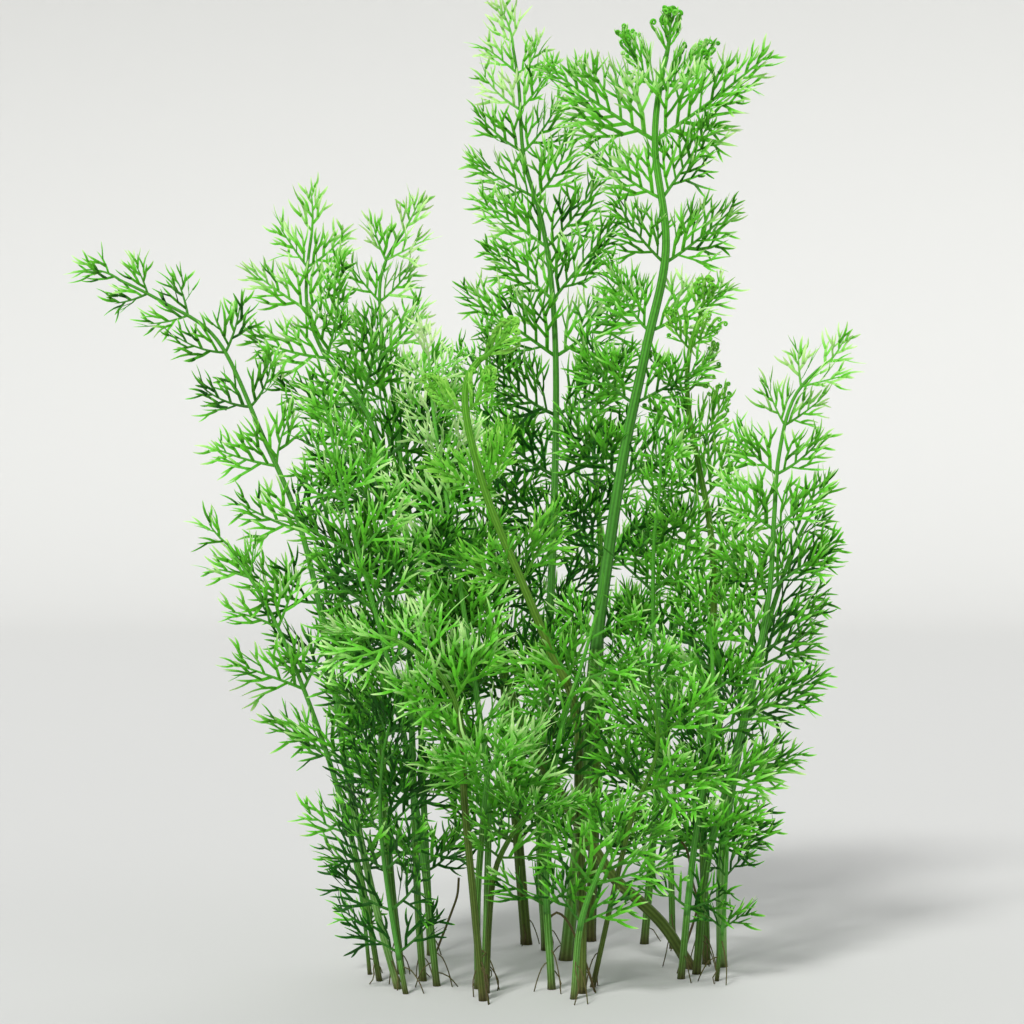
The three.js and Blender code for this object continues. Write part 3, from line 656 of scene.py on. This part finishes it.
def solid_pinnae(frond, index, course):
    """Every pinna that a frond's solids have, with branch set to the side of one that is its own node."""
    forked_tier = frond["fork"]["tier"] if "fork" in frond else None
    names = [frond["name"] + "_blade"]
    if "fork" in frond:
        names += [frond["name"] + "_branch_left", frond["name"] + "_branch_right"]
    corners = solid_corners(names)
    first = frond["bare"] + ABOVE_STIPE / course.length
    found = [pinna_at(course, LAST_PINNA, 1, 0, 0, frond["pinna"] * PINNA_SIZE["end"])]
    for tier in range(frond["pairs"]):
        up = 1 - (1 - tier / frond["pairs"]) ** CROWDING
        grown = PINNA_SIZE["lowest"] + (1 - PINNA_SIZE["lowest"]) * min(1, up / PINNA_SIZE["full_from"])
        size = frond["pinna"] * grown * (1 - PINNA_SIZE["shrink"] * up ** frond["taper"])
        share = first + (LAST_PINNA - first) * up
        forked = tier == forked_tier
        for edge, sign in enumerate((-1, 1)):
            seed = 7 * index + 2 * tier + edge
            turn = LEAN[0] + (LEAN[1] - LEAN[0]) * up
            length = size * (1 + PINNA_SIZE["uneven"] * vary(seed + 3))
            if forked:
                turn, length = frond["fork"]["lean"], frond["fork"]["length"]
            for swing_more, turn_more, smaller in TURNED:
                swing = SWING * vary(seed) + swing_more
                pinna = pinna_at(course, share, sign, swing, turn + turn_more, length * smaller, forked)
                if corners.find(Vector(pinna.tip * MM))[2] < NEAR_TIP * MM:
                    if forked:
                        pinna.branch = "left" if sign < 0 else "right"
                    found.append(pinna)
                    break
    for pinna in found:
        pinna.youth = youth_at(frond["name"], pinna.share)
    return found


# The kinds of shoot that make up a pinna, each with its outline, widths at stations from its base to its tip,
# and its way of growing. Angles are in degrees, a value that ends in young comes in with youth, and paler is
# what is added to the tone; the paler tip is partly the fresher green of a growing tip and partly a painted
# highlight. No two shoots are alike: they stray from their kind by the last set of values.
RIBS = {
    "stations": np.linspace(0, 1, 10), "widths": np.r_[np.linspace(1, 0.5, 9), 0],
    "half": 0.38, "half_last": 0.9, "broader": 0.008, "thick": 0.28, "thick_last": 0.75,
    "sway": 0.16, "uneven_tone": 0.08, "paler_tip": 0.1, "stalk": 0.35,
}
PINNULES = {
    "stations": np.array([0, 0.3, 0.6, 0.85, 1]), "widths": np.array([0.95, 0.95, 0.9, 0.62, 0]),
    "apart": 2.5, "apart_short": 1.4, "apart_grows": 0.06, "closer_young": 0.4, "fewest": 4,
    "start": 0.04, "start_most": 0.3, "end": 0.94, "fullness": 0.9, "filling": 2,
    "upper": 0.5, "lower": 0.46, "least": 4.2, "loose": 0.25, "uneven": 0.08,
    "upper_young": 0.3, "lower_young": -0.28, "fan_young": 0.2,
    "angle": 60, "closing": 24, "folded_young": 0.15, "raised": 10, "lightward": 0.1,
    "bend": 0.24, "bend_young": 0.1, "lift": 0.02, "half": 0.42, "broader": 0.012, "thick": 0.15,
    "paler": 0.04, "paler_young": 0.12, "paler_tip": 0.45, "stalk": 0,
}
SEGMENTS = {
    "stations": np.array([0, 0.18, 0.44, 0.69, 0.9, 1]), "widths": np.array([1.3, 1, 0.96, 0.84, 0.52, 0]),
    "apart": 2.9, "closer_young": 0.4, "start": 0.16, "end": 0.76, "fewest": 2,
    "length": 0.72, "least": 3.2, "loose": 0.4, "uneven": 0.15, "smaller_young": 0.5,
    "angle": 46, "closing": 10, "folded_young": 0.35, "raised": 6, "lightward": 0.06,
    "bend": 0.34, "bend_young": 0.1, "lift": 0.0, "half": 0.42, "broader": 0.012, "thick": 0.12,
    "paler": -0.04, "paler_young": 0, "paler_tip": 0.76, "stalk": 0,
}
FORKS = SEGMENTS | {
    "from": 7.6, "grown": 0.5, "place": 0.36, "length": 0.56,
    "angle": 34, "closing": 0, "folded_young": 0, "raised": 4, "lightward": 0.05,
    "bend": 0.2, "bend_young": 0, "lift": 0.03, "half": 0.41, "broader": 0.01,
    "paler": 0.06, "paler_tip": 0.68,
}
STRAY = {"raised": 15, "twist": 16, "bend": 0.5, "lift": 0.1, "half": 0.1, "tone": 0.1}


def on_shoots(parent, who, place):
    """Points on some shoots, and the ways ahead, across and out of them there."""
    s = place[:, None]
    ahead, across, out = parent.ahead[who], parent.across[who], parent.out[who]
    bow = parent.bend[who][:, None] * across + parent.lift[who][:, None] * out
    point = parent.base[who] + parent.length[who][:, None] * (ahead * s + bow * s**2)
    ahead = unit(ahead + 2 * s * bow)
    out = unit(out - ahead * np.sum(out * ahead, axis=1, keepdims=True))
    across = unit(across - ahead * np.sum(across * ahead, axis=1, keepdims=True))
    across = unit(across - out * np.sum(across * out, axis=1, keepdims=True))
    return point, ahead, across, out


def in_turns(counts):
    """Which parent each new shoot grows on, how far along from 0 to 1, and on which side, in turns."""
    who = np.repeat(np.arange(len(counts)), counts)
    number = np.arange(len(who)) - np.repeat(np.cumsum(counts) - counts, counts)
    return who, (number + 0.5) / counts[who], np.where(number % 2 == 0, 1.0, -1.0)


def side_shoots(parent, who, place, side, length, half, kind, rng):
    """Shoots of a kind to the side of others, bent a little towards the parent's tip, and no two alike."""
    point, ahead, across, out = on_shoots(parent, who, place)
    count, youth = len(who), parent.youth[who]
    raised = np.radians(kind["raised"] + STRAY["raised"] * rng.standard_normal(count))[:, None]
    angle = (kind["angle"] - kind["closing"] * place) * (1 - kind["folded_young"] * youth)
    angle = np.radians(angle)[:, None]
    outward = across * side[:, None] * np.cos(raised) + out * np.sin(raised)
    away = ahead * np.cos(angle) + outward * np.sin(angle)
    outward = unit(outward - away * np.sum(outward * away, axis=1, keepdims=True))
    away = unit(away + np.array([0, 0, kind["lightward"]]))
    inward = unit(-outward + away * np.sum(outward * away, axis=1, keepdims=True))
    upper = unit(np.cross(away, inward))
    upper = upper * np.sign(np.sum(upper * out, axis=1, keepdims=True))
    twist = np.radians(STRAY["twist"] * rng.standard_normal(count))[:, None]
    bend = kind["bend"] + kind["bend_young"] * youth
    return SimpleNamespace(
        base=point, ahead=away, length=length, youth=youth, last=parent.last[who],
        across=inward * np.cos(twist) + upper * np.sin(twist),
        out=upper * np.cos(twist) - inward * np.sin(twist),
        bend=bend * (1 + STRAY["bend"] * rng.standard_normal(count)),
        lift=STRAY["lift"] * rng.standard_normal(count) + kind["lift"],
        half=half * (1 + STRAY["half"] * rng.standard_normal(count)),
        thick=np.full(count, kind["thick"]),
        tone=(
            parent.tone[who] + kind["paler"] + kind["paler_young"] * youth
            + STRAY["tone"] * rng.standard_normal(count)
        ),
    )


def picked(some, wanted):
    """Those of a set of shoots that are wanted."""
    return SimpleNamespace(**{name: values[wanted] for name, values in vars(some).items()})


# The tallest frond's thick stem shows bare in front of the leaves between two heights, seen from the camera.
STEM_SHOWN = {"from": 112, "to": 245, "half": 3.0}
CAMERA_PLACE = np.array([-19.4, -900.0, 161.3])
THICK_STEM = stalk_course(FRONDS[0]).at(np.linspace(0, 1, 40))[0]


def beside_stem(some):
    """Those of some shoots that don't hang in front of the thick stem of the tallest frond."""
    keep = np.ones(len(some.base), bool)
    for share in (0, 0.5, 1):
        point = some.base + share * some.length[:, None] * some.ahead
        nearness = CAMERA_PLACE[1] / (CAMERA_PLACE[1] - point[:, 1:2])
        seen = CAMERA_PLACE + (point - CAMERA_PLACE) * nearness
        stem = np.interp(seen[:, 2], THICK_STEM[:, 2], THICK_STEM[:, 0])
        covers = (np.abs(seen[:, 0] - stem) < STEM_SHOWN["half"]) & (point[:, 1] < 0)
        keep &= ~(covers & (seen[:, 2] > STEM_SHOWN["from"]) & (seen[:, 2] < STEM_SHOWN["to"]))
    return picked(some, keep)


# Painted light and shade: leaves are painted paler high up and out at the clump's edge, where the light
# falls, and darker low down and deep inside the clump, where they are in shade.
PAINTED_LIGHT_AND_SHADE = {
    "middle": (-10, -5), "wide": 100, "deep": 75, "inside": 0.5, "edge": 0.6,
    "low": 40, "high": 320, "even": 170, "rise": 0.3,
    "clear_from": 150, "clear_over": 100, "clear": 0.5,
}


def painted_light_and_shade(corners):
    """The painted light and shade that is added to the tone of a leaf at some places in the clump."""
    x, y, z = corners.T
    east = (x - PAINTED_LIGHT_AND_SHADE["middle"][0]) / PAINTED_LIGHT_AND_SHADE["wide"]
    north = (y - PAINTED_LIGHT_AND_SHADE["middle"][1]) / PAINTED_LIGHT_AND_SHADE["deep"]
    clear = np.clip((z - PAINTED_LIGHT_AND_SHADE["clear_from"]) / PAINTED_LIGHT_AND_SHADE["clear_over"], 0, 1)
    outside = np.clip(np.hypot(east, north) + PAINTED_LIGHT_AND_SHADE["clear"] * clear, 0, 1)
    height = np.clip(z, PAINTED_LIGHT_AND_SHADE["low"], PAINTED_LIGHT_AND_SHADE["high"]) - PAINTED_LIGHT_AND_SHADE["even"]
    share = height / (PAINTED_LIGHT_AND_SHADE["high"] - PAINTED_LIGHT_AND_SHADE["low"])
    return PAINTED_LIGHT_AND_SHADE["rise"] * share + PAINTED_LIGHT_AND_SHADE["inside"] * (outside - PAINTED_LIGHT_AND_SHADE["edge"])


def placed_shoots(some, kind):
    """The leaf of all these shoots, each its kind's outline laid along it: corners, faces and marks."""
    ring, round_it, faces = rod_template(4, len(kind["stations"]), True)
    s = kind["stations"][ring][None, :, None]
    width = kind["widths"][ring][None, :, None]
    ahead, across, out = (way[:, None, :] for way in (some.ahead, some.across, some.out))
    bow = some.bend[:, None, None] * across + some.lift[:, None, None] * out
    centre = some.base[:, None, :] + some.length[:, None, None] * (ahead * s + bow * s**2)
    hand = np.sign(np.sum(np.cross(some.ahead, some.across) * some.out, axis=1))[:, None, None]
    corners = centre + hand * across * round_it[None, :, :1] * width * some.half[:, None, None]
    corners = corners + out * round_it[None, :, 1:] * width * some.thick[:, None, None]
    corners = corners.reshape(-1, 3)
    count = len(some.base)
    all_faces = faces[None] + (np.arange(count) * len(ring))[:, None, None]
    # A shoot is paler towards its tip and darker at its base: partly the fresher green of a growing tip, and
    # partly a painted highlight on the tip and painted shade at the base, where it meets its parent.
    tone = some.tone[:, None] + kind["paler_tip"] * kind["stations"][ring][None, :] ** 2
    # The tone also takes the painted light and shade of each corner's place in the clump.
    marks = {
        "tone": tone.ravel() + painted_light_and_shade(corners),
        "margin": np.tile(np.abs(round_it[:, 1]) < 0.5, count).astype(float),
        "stalk": np.full(len(corners), kind["stalk"]),
    }
    return corners, all_faces.reshape(-1, 3), marks


# A young tip is rolled up. The radius and thickness of its coil, on the last pinna of a frond and elsewhere.
COILS = {
    "from": 0.9, "turns": 1.25, "rings": 15, "sides": 5, "tighter": 0.62, "thinner": 0.55, "rise": 0.25,
    "unrolling": 0.6, "paler": 0.12,
}
PINNULE_COILS = {"last": (1.05, 0.62), "other": (0.7, 0.46)}
RIB_COILS = {"last": (1.9, 1.0), "other": (1.2, 0.65)}


def young_coils(some, sizes):
    """The rolled-up tips of young shoots, like little watch springs."""
    ring, round_it, faces = rod_template(COILS["sides"], COILS["rings"], True)
    t = (ring / (COILS["rings"] - 1))[None, :, None]
    count = len(some.base)
    point, ahead, across, out = on_shoots(some, np.arange(count), np.full(count, COILS["from"]))
    radius, thick = np.where(some.last[:, None], sizes["last"], sizes["other"]).T
    angle = 2 * np.pi * COILS["turns"] * t
    outward = -across[:, None, :] * np.cos(angle) + ahead[:, None, :] * np.sin(angle)
    centre = (point + across * radius[:, None])[:, None, :] + out[:, None, :] * COILS["rise"] * t
    centre = centre + radius[:, None, None] * (1 - COILS["tighter"] * t) * outward
    width = thick[:, None, None] * (1 - COILS["thinner"] * t) * (t < 1)
    hand = np.sign(np.sum(np.cross(ahead, outward[:, 0]) * out, axis=1))[:, None, None]
    outward = hand * outward * round_it[None, :, :1] + out[:, None, :] * round_it[None, :, 1:]
    corners = (centre + width * outward).reshape(-1, 3)
    all_faces = faces[None] + (np.arange(count) * len(ring))[:, None, None]
    # The tone takes the painted light and shade of each corner's place in the clump.
    tone = np.repeat(some.tone + COILS["paler"], len(ring)) + painted_light_and_shade(corners)
    return corners, all_faces.reshape(-1, 3), {"tone": tone}


def pinna_ribs(pinnae, tone, pale_top, rng):
    """The midribs of some pinnae, each a shoot that begins inside the rachis and swings a little."""
    each = {name: np.array([vars(pinna)[name] for pinna in pinnae]) for name in vars(pinnae[0])}
    base, root, length, stem, share = (each[name] for name in ("base", "root", "length", "stem", "share"))
    ahead, across, out = (each[name] for name in ("ahead", "across", "out"))
    last = share == LAST_PINNA
    # A frond's paler top is partly its own paler green and partly painted light from above.
    tone = tone + pale_top * share**4 + RIBS["uneven_tone"] * rng.standard_normal(len(pinnae))
    sway, arch = RIBS["sway"] * rng.standard_normal((2, len(pinnae)))
    return SimpleNamespace(
        base=base, ahead=unit(ahead - sway[:, None] * across - arch[:, None] * out), across=across, out=out,
        length=np.linalg.norm(root - base, axis=1) + length, free=length, stem=stem,
        bend=RISE + sway, lift=arch,
        half=np.maximum(RIBS["half"] + RIBS["broader"] * length, RIBS["half_last"] * last * stem),
        thick=np.maximum(RIBS["thick"], RIBS["thick_last"] * last * stem),
        tone=tone, youth=each["youth"], last=last,
    )


def rib_pinnules(ribs, loose, rng):
    """The pinnules of some ribs, long low on the rib and short at its tip. On a young pinna those above are
    longer than those below, and on the last one of a frond they fan out."""
    apart = np.minimum(PINNULES["apart"], PINNULES["apart_short"] + PINNULES["apart_grows"] * ribs.free)
    apart = loose * apart * (1 - PINNULES["closer_young"] * ribs.youth)
    span = PINNULES["end"] - PINNULES["start"]
    counts = np.maximum(PINNULES["fewest"], np.round(ribs.free * span / apart)).astype(int)
    who, place, side = in_turns(counts)
    start = np.minimum(PINNULES["start"] + ribs.stem / ribs.free, PINNULES["start_most"])[who]
    place = start + (PINNULES["end"] - start) * place
    youth = ribs.youth[who] * ~ribs.last[who]
    upper = PINNULES["upper"] + PINNULES["upper_young"] * youth
    lower = PINNULES["lower"] + PINNULES["lower_young"] * youth
    reach = np.where(side > 0, upper, lower) + PINNULES["fan_young"] * ribs.youth[who] * ribs.last[who]
    fullness = np.clip(PINNULES["fullness"] + (place - start) * PINNULES["filling"], 0, 1)
    length = reach * ribs.free[who] * (1 - place) * fullness
    length = length * (1 + PINNULES["uneven"] * rng.standard_normal(len(who))) + PINNULES["least"]
    length = length * (1 + PINNULES["loose"] * (loose - 1))
    half = PINNULES["half"] + PINNULES["broader"] * length
    return beside_stem(side_shoots(ribs, who, place, side, length, half, PINNULES, rng))


def pinnule_segments(pinnules, loose, rng):
    """The segments of some pinnules, long low on the pinnule and short at its tip."""
    span = SEGMENTS["end"] - SEGMENTS["start"]
    apart = loose * SEGMENTS["apart"] * (1 - SEGMENTS["closer_young"] * pinnules.youth)
    counts = np.maximum(SEGMENTS["fewest"], np.round(pinnules.length * span / apart)).astype(int)
    who, place, side = in_turns(counts)
    place = SEGMENTS["start"] + span * place
    length = SEGMENTS["length"] * pinnules.length[who] * (1 - place) + SEGMENTS["least"]
    length = length * (1 + SEGMENTS["loose"] * (loose - 1))
    length = length * (1 + SEGMENTS["uneven"] * rng.standard_normal(len(who)))
    length = length * (1 - SEGMENTS["smaller_young"] * pinnules.youth[who])
    half = SEGMENTS["half"] + SEGMENTS["broader"] * length
    return beside_stem(side_shoots(pinnules, who, place, side, length, half, SEGMENTS, rng))


def segment_forks(segments, rng):
    """The second tips of the longer segments, each forking off below the middle of one."""
    who = np.flatnonzero((segments.length > FORKS["from"]) & (segments.youth < FORKS["grown"]))
    place = np.full(len(who), FORKS["place"])
    length = segments.length[who]
    half = FORKS["half"] + FORKS["broader"] * length
    return side_shoots(segments, who, place, -np.ones(len(who)), FORKS["length"] * length, half, FORKS, rng)


def pinna_leaves(pinnae, tone, pale_top, loose, seed):
    """All the leaf of some pinnae of one frond. A loose one has fewer, longer segments."""
    rng = np.random.default_rng(seed)
    ribs = pinna_ribs(pinnae, tone, pale_top, rng)
    pinnules = rib_pinnules(ribs, loose, rng)
    segments = pinnule_segments(pinnules, loose, rng)
    forks = segment_forks(segments, rng)
    parts = [placed_shoots(ribs, RIBS), placed_shoots(pinnules, PINNULES)]
    parts += [placed_shoots(segments, SEGMENTS), placed_shoots(forks, FORKS)]
    for some, sizes in ((pinnules, PINNULE_COILS), (ribs, RIB_COILS)):
        young = some.youth > COILS["unrolling"]
        if young.any():
            parts.append(young_coils(picked(some, young), sizes))
    return joined(parts)


# Leaf is dark green low in the clump, where shade is painted on it, fresh green above, and nearly white at
# the tips, where light is painted on them.
LEAF_GREENS = {"deep": (0.008, 0.06, 0.003), "fresh": (0.125, 0.57, 0.024), "pale": (0.62, 0.96, 0.36)}
LEAF = fern_material("fern leaf", shade=-0.47, bump=0.25, stalk=(0.09, 0.31, 0.044), **LEAF_GREENS)
OLD_LEAF = fern_material(
    "leaf of an old fern", shade=-0.47, bump=0.25, stalk=(0.075, 0.15, 0.018), **LEAF_GREENS,
)
YOUNG_LEAF = fern_material(
    "young fern leaf", shade=-0.36, bump=0.25, deep=(0.012, 0.09, 0.005), fresh=(0.1, 0.44, 0.018),
    pale=(0.32, 0.74, 0.1), stalk=(0.1, 0.19, 0.02),
)

# How pale the leaf of each frond is, partly its own green and partly painted light and shade for where it
# stands in the clump, how much paler that of some is at the top, partly its own paler green and partly
# painted light from above, and how loosely some grow.
LEAF_TONES = {
    "tall_back": 0.02, "pale_centre": 0.58, "right_tall": 0.18, "left_inner": 0.17, "left_tall": 0.15,
    "right_edge": 0.12, "tall_centre": 0.2, "far_left": 0.12, "left_edge": 0.3, "left_front": 0.24,
    "arching": 0.5, "rosette": 0.44, "low_rosette": 0.32, "low_left": -0.24, "low_centre": 0.32,
    "low_right": 0.33, "right_front": 0.33, "right_middle": 0.31, "right_inner": 0.38, "right_crozier": 0.3,
    "crozier": 0.36, "leaning": 0.32, "sprout_left": 0.25, "sprout_right": 0.3,
    "back_left": 0.3, "back_middle": 0.3, "back_right": 0.3, "left_back": 0.3,
}
PALE_TOPS = {"tall_back": 0.6, "right_tall": 0.45, "pale_centre": 0.4, "left_inner": 0.35, "left_tall": 0.25}
LOOSE = {
    "rosette": 1.3, "arching": 1.4, "low_rosette": 1.5, "low_centre": 1.3, "low_left": 1.3, "low_right": 1.4,
    "left_edge": 1.25, "left_front": 1.2, "right_front": 1.3, "right_middle": 1.2, "right_edge": 1.2,
    "far_left": 1.15, "right_inner": 1.2, "right_crozier": 1.25,
}

# A rachis is in step with its leaf and gets paler as it rises, and its skin gives way to leaf green.
RACHIS = {"tone": 0.2, "leaf": 0.5, "rise": 0.3, "greener": 0.7}
BLADE_SEED = 100


def leaf_finish(frond):
    """The material of a frond's leaf, and a slot name."""
    if frond.get("young"):
        return YOUNG_LEAF, "young_leaf"
    if frond.get("old"):
        return OLD_LEAF, "leaf"
    return LEAF, "leaf"


for index, frond in enumerate(FRONDS):
    name = frond["name"]
    course = stalk_course(frond)
    corners, faces, share, ribs = stalk_rod(course, frond["bare"], LAST_PINNA)
    up = (share - frond["bare"]) / (LAST_PINNA - frond["bare"])
    tone = RACHIS["tone"] + RACHIS["leaf"] * LEAF_TONES[name] + RACHIS["rise"] * share
    rachis = (corners, faces, {"tone": tone, "rib": ribs, "stalk": 1 - RACHIS["greener"] * up})
    pinnae = [pinna for pinna in solid_pinnae(frond, index, course) if not pinna.branch]
    loose, pale_top = LOOSE.get(name, 1), PALE_TOPS.get(name, 0)
    leaves = pinna_leaves(pinnae, LEAF_TONES[name], pale_top, loose, BLADE_SEED + index)
    finish_piece(name + "_blade", [rachis, leaves], *leaf_finish(frond))


# The side branches
# Each of the two tallest fronds forks near its top, where one pair of its pinnae has grown into branches as
# large as a small frond. They are of the same leaf, a little paler, and grow out of the rachis with no seam.
BRANCHES = {"paler": 0.05, "seed": 200}

for index, frond in enumerate(FRONDS):
    if "fork" not in frond:
        continue
    name = frond["name"]
    tone = LEAF_TONES[name] + BRANCHES["paler"]
    for pinna in solid_pinnae(frond, index, stalk_course(frond)):
        if pinna.branch:
            seed = BRANCHES["seed"] + index + (pinna.branch == "left")
            leaves = pinna_leaves([pinna], tone, PALE_TOPS.get(name, 0), 1, seed)
            finish_piece(f"{name}_branch_{pinna.branch}", [leaves], *leaf_finish(frond))


# The floor and the light
# A plain pale floor that rises all round into a backdrop, and three large soft lights: above the camera on
# its left, beside it on its right, and behind the clump.
FLOOR = {"radius": 2.6, "bend": 1.2, "height": 2.4, "steps": 16, "segments": 96}
bm = bmesh.new()
rim = [bm.verts.new((0, 0, 0)), bm.verts.new((FLOOR["radius"], 0, 0))]
for step in range(1, FLOOR["steps"] + 1):
    turn = math.pi / 2 * step / FLOOR["steps"]
    out = FLOOR["radius"] + FLOOR["bend"] * math.sin(turn)
    rim.append(bm.verts.new((out, 0, FLOOR["bend"] * (1 - math.cos(turn)))))
rim.append(bm.verts.new((FLOOR["radius"] + FLOOR["bend"], 0, FLOOR["height"])))
outline = [bm.edges.new(pair) for pair in zip(rim, rim[1:])]
bmesh.ops.spin(
    bm, geom=rim + outline, axis=(0, 0, 1), cent=(0, 0, 0), angle=2 * math.pi, steps=FLOOR["segments"],
    use_merge=True,
)
bmesh.ops.remove_doubles(bm, verts=bm.verts[:], dist=1e-4)
bmesh.ops.recalc_face_normals(bm, faces=bm.faces[:])
mesh = bpy.data.meshes.new("floor")
bm.to_mesh(mesh)
bm.free()
mesh.shade_smooth()
floor = bpy.data.objects.new("floor", mesh)
bpy.context.collection.objects.link(floor)
paper = bpy.data.materials.new("pale floor")
paper.use_nodes = True
shader = paper.node_tree.nodes["Principled BSDF"]
shader.inputs["Base Color"].default_value = (0.63, 0.63, 0.61, 1)
shader.inputs["Roughness"].default_value = 0.9
mesh.materials.append(paper)

CLUMP_MIDDLE = Vector((-0.03, 0, 0.18))


def studio_sun(name, place, softness, power):
    """A broad, even lamp that shines from a place towards the middle of the clump."""
    lamp = bpy.data.lights.new(name, "SUN")
    lamp.angle = math.radians(softness)
    lamp.energy = power
    light = bpy.data.objects.new(name, lamp)
    light.location = place
    light.rotation_euler = (CLUMP_MIDDLE - Vector(place)).to_track_quat("-Z", "Y").to_euler()
    bpy.context.collection.objects.link(light)


studio_sun("key light", (-1.0, -2.0, 2.3), 12, 2.75)
studio_sun("fill light", (2.2, -1.6, 1.6), 40, 0.45)
studio_sun("back light", (0.8, 2.2, 2.2), 40, 0.7)
world = bpy.data.worlds.new("studio")
world.use_nodes = True
sky = world.node_tree.nodes["Background"]
sky.inputs["Color"].default_value = (0.93, 0.95, 1, 1)
sky.inputs["Strength"].default_value = 0.39
bpy.context.scene.world = world
bpy.context.scene.view_settings.view_transform = "Standard"


# The camera
# The photograph was taken level, with the lens straight before the clump at about half its height, through a
# lens long enough for the clump to fill the square frame from 0.9 m away.
lens = bpy.data.cameras.new("camera")
lens.lens = 87.9
lens.sensor_width = 36
camera = bpy.data.objects.new("camera", lens)
camera.location = CAMERA_PLACE * MM
camera.rotation_euler = (math.pi / 2, 0, 0)
bpy.context.collection.objects.link(camera)
bpy.context.scene.camera = camera
